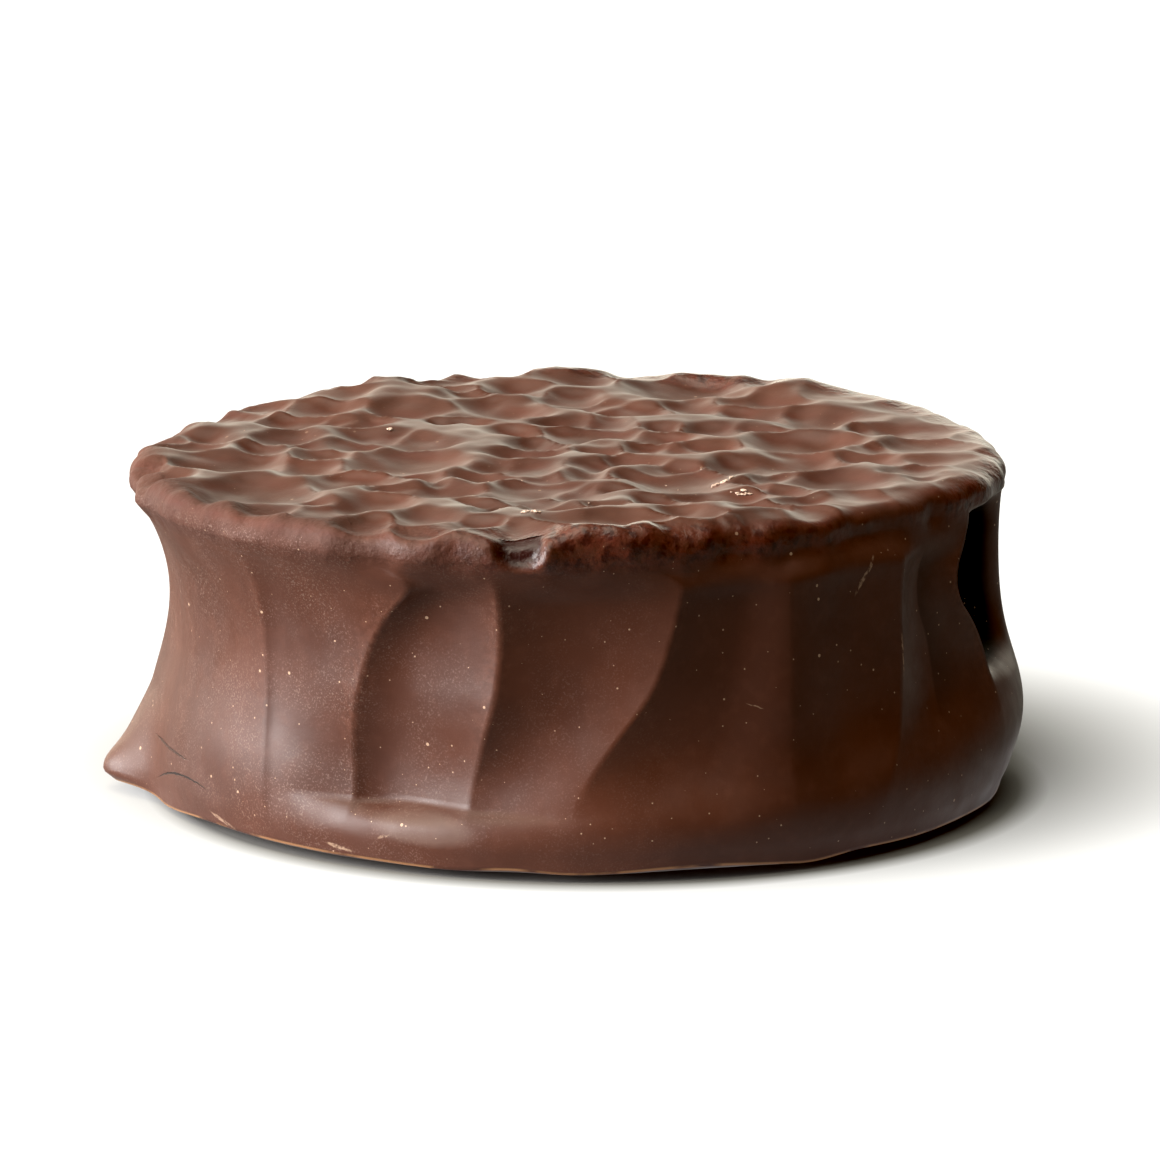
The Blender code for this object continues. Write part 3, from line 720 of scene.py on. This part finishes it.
def patches(size, detail, low, high, most=1.0):
    """A mask of soft patches of one size in mm: 0 below the low share of noise, the most above the high."""
    return between(noise(size, detail).outputs["Fac"], low, high, most)


def both(one, other):
    return maths(tree, "MULTIPLY", one, other)


def coat(under, over, share):
    """The colour under, covered by another, a hex value, where the share says."""
    sockets = {SHARE: share, FIRST: under, SECOND: linear(over)}
    return add_node(tree, "ShaderNodeMix", sockets, data_type="RGBA").outputs[MIXED]


# Slow clouds of deeper and paler chocolate, from how thick the skin set
# Patches are given by their size, their detail, their two shares of the noise and the most that they cover.
CLOUDS = (9.0, 2.0, 0.35, 0.65)
WORN_PATCHES = (1.1, 3.0, 0.5, 0.85, 0.2)
tone = coat(linear(CHOCOLATE_DEEP), CHOCOLATE, patches(*CLOUDS))
tone = coat(tone, CHOCOLATE_WORN, patches(*WORN_PATCHES))

# The front of the rim is mottled red and dark, where the skin is thin over the biscuit's edge
EDGE_DISTANCES = (28.6, 30.0)
RIM_HEIGHTS = (21.2, 22.3)
FRONT_ACROSS = (-14.0, 0.0)
RED_PATCHES = (0.9, 4.0, 0.35, 0.65, 0.45)
DARK_PATCHES = (0.7, 3.0, 0.48, 0.62, 0.8)
from_axis = add_node(tree, "ShaderNodeCombineXYZ", {0: across, 1: back}).outputs[0]
from_axis = add_node(tree, "ShaderNodeVectorMath", {0: from_axis}, operation="LENGTH").outputs["Value"]
at_edge = between(from_axis, *EDGE_DISTANCES)
near_rim = both(between(height, *RIM_HEIGHTS), at_edge)
front_rim = both(near_rim, between(across, *FRONT_ACROSS))
tone = coat(tone, CHOCOLATE_RED, both(front_rim, patches(*RED_PATCHES)))
tone = coat(tone, CHIP_RED, both(front_rim, patches(*DARK_PATCHES)))

# Painted shade makes the hollows of the top redder and darker, and a painted sheen makes their crests paler
TOP_HEIGHTS = (23.2, 23.7)
HOLLOW_HEIGHTS = (24.15, 23.75)
HOLLOW_PATCHES = (2.0, 2.0, 0.3, 0.6, 0.2)
CREST_LINES = (0.5, 1.0, 0.25)
on_top = between(height, *TOP_HEIGHTS)
# painted shade, darker red the lower a point of the top lies
hollow_shade = both(both(between(height, *HOLLOW_HEIGHTS), on_top), patches(*HOLLOW_PATCHES))
tone = coat(tone, CHOCOLATE_RED, hollow_shade)
ridge = add_node(tree, "ShaderNodeAttribute", attribute_name="ridge").outputs["Fac"]
# painted sheen along the crests of the top
tone = coat(tone, CREST_SHEEN, both(between(ridge, *CREST_LINES), on_top))

# Painted shade: the inside of the pocket is painted near-black
pocket = add_node(tree, "ShaderNodeAttribute", attribute_name="pocket").outputs["Fac"]
tone = coat(tone, SHADE_BLACK, pocket)

# The chip is painted dark red, darker with its depth: a dark red skin with painted shade in the pit
chip_shade = add_node(tree, "ShaderNodeAttribute", attribute_name="chip").outputs["Fac"]
tone = coat(tone, CHIP_RED, chip_shade)

# Sharp crests of the side are rubbed paler
SHARP_CREASES = (0.7, 1.0)
RUBBED_PATCHES = (0.5, 3.0, 0.4, 0.6, 0.35)
creased = add_node(tree, "ShaderNodeAttribute", attribute_name="crease").outputs["Fac"]
tone = coat(tone, CHOCOLATE_WORN, both(between(creased, *SHARP_CREASES), patches(*RUBBED_PATCHES)))

# Bloom: cocoa butter that came up in fine grey flecks on the side, most at the left
BLOOM_FLECKS = (0.13, 2.0, 0.54, 0.68)
BLOOM_PATCHES = (4.0, 3.0, 0.35, 0.6)
BLOOM_HEIGHTS = (23.6, 22.8)
BLOOM_ACROSS = (12.0, -20.0)
BLOOM_MOST = 0.17
flecks = both(patches(*BLOOM_FLECKS), patches(*BLOOM_PATCHES))
bloomed = both(both(flecks, between(height, *BLOOM_HEIGHTS)), between(across, *BLOOM_ACROSS))
tone = coat(tone, BLOOM, both(bloomed, BLOOM_MOST))

# Specks of cocoa butter: millimetres between them, their radius, and how pale they are
SPECKS = ((1.9, 0.13, 0.7), (0.8, 0.075, 0.55))
SPECK_HEIGHTS = (24.6, 22.0)
speckled = 0.0
for spacing, radius, strength in SPECKS:
    cells = add_node(tree, "ShaderNodeTexVoronoi", {"Vector": place, "Scale": 1.0 / spacing})
    size = add_node(tree, "ShaderNodeSeparateColor", {0: cells.outputs["Color"]}).outputs[0]
    reach = both(both(size, radius), 1.0 / spacing)
    dot = maths(tree, "GREATER_THAN", reach, cells.outputs["Distance"])
    speckled = maths(tree, "MAXIMUM", speckled, both(dot, strength))
tone = coat(tone, COCOA_BUTTER, both(speckled, between(height, *SPECK_HEIGHTS)))

# The thin edge at the foot broke off the belt, and shows as a pale tan line
EDGE_LINE = (0.35, 0.75)
EDGE_PATCHES = (3.5, 3.0, 0.38, 0.5, 0.85)
edge = add_node(tree, "ShaderNodeAttribute", attribute_name="edge").outputs["Fac"]
tone = coat(tone, TAN, both(between(edge, *EDGE_LINE), patches(*EDGE_PATCHES)))

# Marks on the side: mm round from the front, height, length, width, tilt in degrees, bend and strength
BAND_HIGHLIGHT = (-10.4, 3.3, 8.5, 2.6, -3.0, 0.0, 0.055)  # a painted highlight: a pale patch where the band was rubbed dull
SCUFFS = (
    (-28.7, 1.3, 3.4, 0.3, -14.0, 0.0, 0.35),
    (-17.0, 1.3, 2.4, 0.35, -8.0, 0.0, 0.45),
    (-13.2, 2.5, 1.1, 0.25, 20.0, 0.0, 0.35),
    (22.8, 19.4, 3.5, 0.35, 51.0, 0.0, 0.5),
    (26.3, 13.4, 3.6, 0.24, 92.0, 0.0, 0.5),
    (13.0, 11.6, 1.4, 0.1, -20.0, 0.0, 0.3),
)
CRACKS = (
    (-5.6, 24.1, 1.6, 0.1, -25.0, 0.02, 0.4),
    (-34.8, 3.4, 9.5, 0.15, 6.0, -0.035, 0.85),
    (-36.9, 4.9, 8.0, 0.22, -3.0, 0.0, 0.5),
)
SCUFF_PATCHES = (0.3, 3.0, 0.35, 0.55)
MARK_FADE = (1.0, 0.4)  # squares of the shares of its half size over which a mark comes up
WANDER = (0.5, 3.0)  # size and detail of the noise that makes their outlines stray
WANDER_REACH = 0.3
NOISE_MIDDLE = (0.5, 0.5, 0.5)
wander = noise(*WANDER).outputs["Color"]
wander = add_node(tree, "ShaderNodeVectorMath", {0: wander, 1: NOISE_MIDDLE}, operation="SUBTRACT").outputs[0]
wander = add_node(
    tree, "ShaderNodeVectorMath", {0: wander, "Scale": WANDER_REACH}, operation="SCALE"
).outputs[0]
unrolled = add_node(tree, "ShaderNodeCombineXYZ", {0: around, 1: height, 2: 0.0}).outputs[0]
unrolled = add_node(tree, "ShaderNodeVectorMath", {0: unrolled, 1: wander}, operation="ADD").outputs[0]


def mark(middle, level, length, width, tilt, bend, strength):
    """A mask of one bent streak on the unrolled side."""
    centre = {0: unrolled, 1: (middle, level, 0.0)}
    centred = add_node(tree, "ShaderNodeVectorMath", centre, operation="SUBTRACT").outputs[0]
    untilt = {"Vector": centred, "Angle": math.radians(-tilt)}
    level_with = add_node(tree, "ShaderNodeVectorRotate", untilt, rotation_type="Z_AXIS").outputs[0]
    along, over, _ = add_node(tree, "ShaderNodeSeparateXYZ", {0: level_with}).outputs
    squared = both(along, along)
    over = maths(tree, "MULTIPLY_ADD", squared, -bend, over)
    far = both(both(over, over), 4.0 / width**2)
    far = maths(tree, "MULTIPLY_ADD", squared, 4.0 / length**2, far)
    return between(far, *MARK_FADE, strength)


def marks(rows):
    total = 0.0
    for row in rows:
        total = maths(tree, "MAXIMUM", total, mark(*row))
    return total


# Painted highlight: a pale patch on the band
tone = coat(tone, HIGHLIGHT_PALE, mark(*BAND_HIGHLIGHT))
scuffed = both(marks(SCUFFS), patches(*SCUFF_PATCHES))
tone = coat(tone, COCOA_BUTTER, scuffed)
# The cracks are painted near-black, a painted shade in them; below they are also sunk in the bump
cracked = both(marks(CRACKS), at_edge)
tone = coat(tone, SHADE_BLACK, cracked)

# Satin: duller where it is scuffed, in the pocket and along the left of the rim, glossier along its front
SATIN = 0.4
SATIN_PATCHES = (3.0, 2.0, 0.3, 0.7, 0.14)
LEFT_ACROSS = (-4.0, -18.0)
DULLER = 0.3
GLOSSIER = -0.14
rough = maths(tree, "ADD", patches(*SATIN_PATCHES), SATIN)
dull = maths(tree, "MAXIMUM", scuffed, pocket)
dull = maths(tree, "MAXIMUM", dull, both(near_rim, between(across, *LEFT_ACROSS)))
rough = maths(tree, "MULTIPLY_ADD", dull, DULLER, rough)
rough = maths(tree, "MULTIPLY_ADD", front_rim, GLOSSIER, rough)

# Fine unevenness: a slow pebbling all over, more on the rim, a grain that catches the light, and the cracks
PEBBLING = (1.6, 3.0)
PEBBLING_DEPTH = 0.035
RIM_PEBBLING = (0.6, 3.0)
RIM_PEBBLING_DEPTH = 0.12
GRAIN = (0.13, 2.0)
GRAIN_DEPTH = 0.006
CRACK_DEPTH = 0.15
uneven = both(noise(*PEBBLING).outputs["Fac"], PEBBLING_DEPTH)
for pattern, depth in (
    (both(noise(*RIM_PEBBLING).outputs["Fac"], near_rim), RIM_PEBBLING_DEPTH),
    (noise(*GRAIN).outputs["Fac"], GRAIN_DEPTH),
    (cracked, -CRACK_DEPTH),
):
    uneven = maths(tree, "MULTIPLY_ADD", pattern, depth, uneven)
bump = {"Height": uneven, "Strength": 1.0, "Distance": MM}
relief = add_node(tree, "ShaderNodeBump", bump).outputs["Normal"]

tree.links.new(tone, surface.inputs["Base Color"])
tree.links.new(rough, surface.inputs["Roughness"])
tree.links.new(relief, surface.inputs["Normal"])
surface.inputs["IOR"].default_value = CHOCOLATE_IOR
surface.inputs["Specular IOR Level"].default_value = CHOCOLATE_SPECULAR

skin.data.materials.append(couverture)
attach(skin, "root")
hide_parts("alfajor")


# The crumbs
# Grains of biscuit and broken chocolate that fell on the top while it was still soft, and stick there in
# clusters. A cluster has its place across and back, its length and width in mm, and its number of grains.
CRUMB = "#A08878"
CRUMB_ROUGHNESS = 0.8
CLUSTERS = (
    (10.3, -11.6, 2.2, 0.5, 14),
    (11.8, -15.3, 1.1, 0.6, 12),
    (-2.9, -25.2, 1.6, 0.5, 9),
    (-13.1, 7.0, 0.4, 0.3, 4),
)
CLUSTER_SPREAD = 0.25  # how far its grains stray from its middle, as a share of its length and width
GRAIN_SIZES = (0.12, 0.36)
DUST = 10  # grains that lie alone
DUST_SIZES = (0.1, 0.17)
DUST_REACH = 27.0
CORNERS_STRAY = 0.45  # as a share of its radius
LENGTHENED = (1.0, 1.7)
FLATTENED = (0.5, 0.8)
LIFT = 0.1  # how far its middle is above the skin, as a share of its size

random = np.random.default_rng([SEED, 12])
grains = []
for across_mm, back_mm, length, width, count in CLUSTERS:
    for _ in range(count):
        x = across_mm + random.normal(0.0, CLUSTER_SPREAD * length)
        y = back_mm + random.normal(0.0, CLUSTER_SPREAD * width)
        grains.append((x, y, random.uniform(*GRAIN_SIZES)))
for _ in range(DUST):
    reach = DUST_REACH * math.sqrt(random.uniform(0.0, 1.0))
    direction = random.uniform(0.0, math.tau)
    grains.append((reach * math.cos(direction), reach * math.sin(direction), random.uniform(*DUST_SIZES)))

bpy.context.view_layer.update()
crumbs = []
for number, (x, y, size) in enumerate(grains, start=1):
    above = (x * MM, y * MM, 2.0 * TOP_HEIGHT * MM)
    _, seat, facing, _ = skin.ray_cast(above, (0.0, 0.0, -1.0))
    radius = size / 2.0 * MM
    bpy.ops.object.select_all(action="DESELECT")
    bpy.ops.mesh.primitive_ico_sphere_add(subdivisions=1, radius=radius, location=(0.0, 0.0, 0.0))
    crumb = bpy.context.active_object
    bpy.ops.object.mode_set(mode="EDIT")
    bpy.ops.mesh.select_all(action="SELECT")
    bpy.ops.transform.vertex_random(offset=CORNERS_STRAY * radius, seed=number)
    bpy.ops.object.mode_set(mode="OBJECT")
    crumb.scale = (random.uniform(*LENGTHENED), 1.0, random.uniform(*FLATTENED))
    crumb.rotation_euler = (0.0, 0.0, random.uniform(0.0, math.tau))
    crumb.location = seat + facing * size * LIFT * MM
    bpy.ops.object.transform_apply(location=True, rotation=True, scale=True)
    crumbs.append(crumb)

bpy.ops.object.select_all(action="DESELECT")
for crumb in crumbs:
    crumb.select_set(True)
bpy.context.view_layer.objects.active = crumbs[0]
bpy.ops.object.join()
crumb_piece = bpy.context.active_object
crumb_piece.name = "crumbs"
crumb_piece.data.name = "crumbs"
bpy.context.scene.cursor.location = (0.0, 0.0, 0.0)
bpy.ops.object.origin_set(type="ORIGIN_CURSOR")

# Dry biscuit: matt, pale and a little uneven
biscuit = bpy.data.materials.new("dry_biscuit")
biscuit.use_nodes = True
crumb_surface = biscuit.node_tree.nodes["Principled BSDF"]
crumb_surface.inputs["Base Color"].default_value = linear(CRUMB)
crumb_surface.inputs["Roughness"].default_value = CRUMB_ROUGHNESS
crumb_piece.data.materials.append(biscuit)
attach(crumb_piece, "root")


# The floor
# A large sheet of matt grey paper under the cookie. In the photo the floor is white from a little way off, so
# the paper glows for the camera from the edge of the cookie's shadow outwards. Near the foot it throws some
# light back on the cookie's lower side. From here on, both and between add to the paper's nodes.
FLOOR_SIZE = 4.0
PAPER = "#6C6B69"
PAPER_ROUGHNESS = 0.9
PAPER_GLOW = 0.85
SHADOW_MIDDLE = (0.005, 0.008, 0.0)
SHADOW_FADES = (0.0265, 0.045)  # distances from there, in metres as all those of the floor
FOOT_MIDDLE = (0.0018, -0.0012, 0.0)
FOOT_SHADE = (0.0302, 0.0324)  # distances from there over which the foot shades the paper
NEAR_GLOW = 0.5  # light that the paper near the foot throws back
NEAR_GLOW_FADES = (0.05, 0.033)  # distances from the middle, from its end inwards

bpy.ops.object.select_all(action="DESELECT")
bpy.ops.mesh.primitive_plane_add(size=FLOOR_SIZE)
floor = bpy.context.active_object
floor.name = "floor"
paper = bpy.data.materials.new("matt_paper")
paper.use_nodes = True
tree = paper.node_tree
sheet = tree.nodes["Principled BSDF"]
sheet.inputs["Base Color"].default_value = linear(PAPER)
sheet.inputs["Roughness"].default_value = PAPER_ROUGHNESS
sheet.inputs["Specular IOR Level"].default_value = 0.0
sheet.inputs["Emission Color"].default_value = linear("#FFFFFF")
spot = add_node(tree, "ShaderNodeTexCoord").outputs["Object"]
from_cookie = add_node(tree, "ShaderNodeVectorMath", {0: spot}, operation="LENGTH").outputs["Value"]
from_shadow = add_node(
    tree, "ShaderNodeVectorMath", {0: spot, 1: SHADOW_MIDDLE}, operation="DISTANCE"
).outputs["Value"]
from_foot = add_node(
    tree, "ShaderNodeVectorMath", {0: spot, 1: FOOT_MIDDLE}, operation="DISTANCE"
).outputs["Value"]
shown = both(between(from_shadow, *SHADOW_FADES, PAPER_GLOW), between(from_foot, *FOOT_SHADE))
thrown = between(from_cookie, *NEAR_GLOW_FADES, NEAR_GLOW)
seen = add_node(tree, "ShaderNodeLightPath").outputs["Is Camera Ray"]
glowing = add_node(tree, "ShaderNodeMix", {0: seen, 2: thrown, 3: shown}, data_type="FLOAT").outputs[0]
tree.links.new(glowing, sheet.inputs["Emission Strength"])
floor.data.materials.append(paper)


# The light
# A large soft light low at the left, a white backdrop behind, a soft box overhead and a dark room around.
KEY_STRENGTH = 19.0
KEY_ANGLE = 56.0
KEY_SIDE = -79.0  # degrees from the front
KEY_ELEVATION = 8.0
ROOM_STRENGTH = 0.03
BACKDROP_STRENGTH = 3.3
BACKDROP_TOWARDS = (-0.35, 0.93, 0.0)
BACKDROP_TOP = (0.68, 0.22)  # sines of the heights over which it ends
BACKDROP_SIDES = (0.5, 0.9)  # cosines of the angles from its middle over which it ends
BOX_STRENGTH = 6.1
BOX_TOWARDS = (-0.3, -0.1, 0.95)
BOX_EDGE = (0.72, 0.98)
SKY_COLOUR = "#FFFBE7"
CAMERA_SKY = 1.0  # the camera sees an evenly lit background

key_data = bpy.data.lights.new("key", "SUN")
key_data.energy = KEY_STRENGTH
key_data.angle = math.radians(KEY_ANGLE)
key = bpy.data.objects.new("key", key_data)
key.rotation_euler = (math.radians(90.0 - KEY_ELEVATION), 0.0, math.radians(KEY_SIDE))
bpy.context.scene.collection.objects.link(key)

studio = bpy.data.worlds.new("studio")
studio.use_nodes = True
sky = studio.node_tree
towards = add_node(sky, "ShaderNodeTexCoord").outputs["Generated"]
_, _, upwards = add_node(sky, "ShaderNodeSeparateXYZ", {0: towards}).outputs
from_backdrop = add_node(
    sky, "ShaderNodeVectorMath", {0: towards, 1: BACKDROP_TOWARDS}, operation="DOT_PRODUCT"
).outputs["Value"]
from_box = add_node(
    sky, "ShaderNodeVectorMath", {0: towards, 1: BOX_TOWARDS}, operation="DOT_PRODUCT"
).outputs["Value"]


def soft_edge(value, start, end, most):
    """0 where the value is at start, rising in an even S to the most at end."""
    spread = {"Value": value, "From Min": start, "From Max": end, "To Min": 0.0, "To Max": most}
    return add_node(sky, "ShaderNodeMapRange", spread, interpolation_type="SMOOTHSTEP").outputs["Result"]


low = soft_edge(upwards, *BACKDROP_TOP, 1.0)
behind = soft_edge(from_backdrop, *BACKDROP_SIDES, BACKDROP_STRENGTH)
glow = maths(sky, "MULTIPLY_ADD", low, behind, ROOM_STRENGTH)
glow = maths(sky, "ADD", glow, soft_edge(from_box, *BOX_EDGE, BOX_STRENGTH))
seen = add_node(sky, "ShaderNodeLightPath").outputs["Is Camera Ray"]
strength = add_node(sky, "ShaderNodeMix", {0: seen, 2: glow, 3: CAMERA_SKY}, data_type="FLOAT").outputs[0]
sky.links.new(strength, sky.nodes["Background"].inputs["Strength"])
sky.nodes["Background"].inputs["Color"].default_value = linear(SKY_COLOUR)
bpy.context.scene.world = studio


# The camera
# It stands level with the photographer's, half a metre in front and a little above.
AIM = (0.00064, 0.0, 0.01455)
DISTANCE = 0.5245
CAMERA_ELEVATION = 11.67
LENS = 227.9
SENSOR_WIDTH = 36.0
CLIP_START = 0.01

camera_data = bpy.data.cameras.new("camera")
camera_data.lens = LENS
camera_data.sensor_width = SENSOR_WIDTH
camera_data.clip_start = CLIP_START
camera = bpy.data.objects.new("camera", camera_data)
tilt = math.radians(CAMERA_ELEVATION)
camera.location = (AIM[0], AIM[1] - DISTANCE * math.cos(tilt), AIM[2] + DISTANCE * math.sin(tilt))
camera.rotation_euler = (math.pi / 2.0 - tilt, 0.0, 0.0)
bpy.context.scene.collection.objects.link(camera)
bpy.context.scene.camera = camera

# The picture's tones: plain, with its blacks set a little deep
BLACK_LEVEL = 0.005
picture = bpy.context.scene.view_settings
picture.view_transform = "Standard"
picture.use_curve_mapping = True
picture.curve_mapping.black_level = (BLACK_LEVEL,) * 3
picture.curve_mapping.update()


def plain(box):
    return [[float(value) for value in corner] for corner in box]
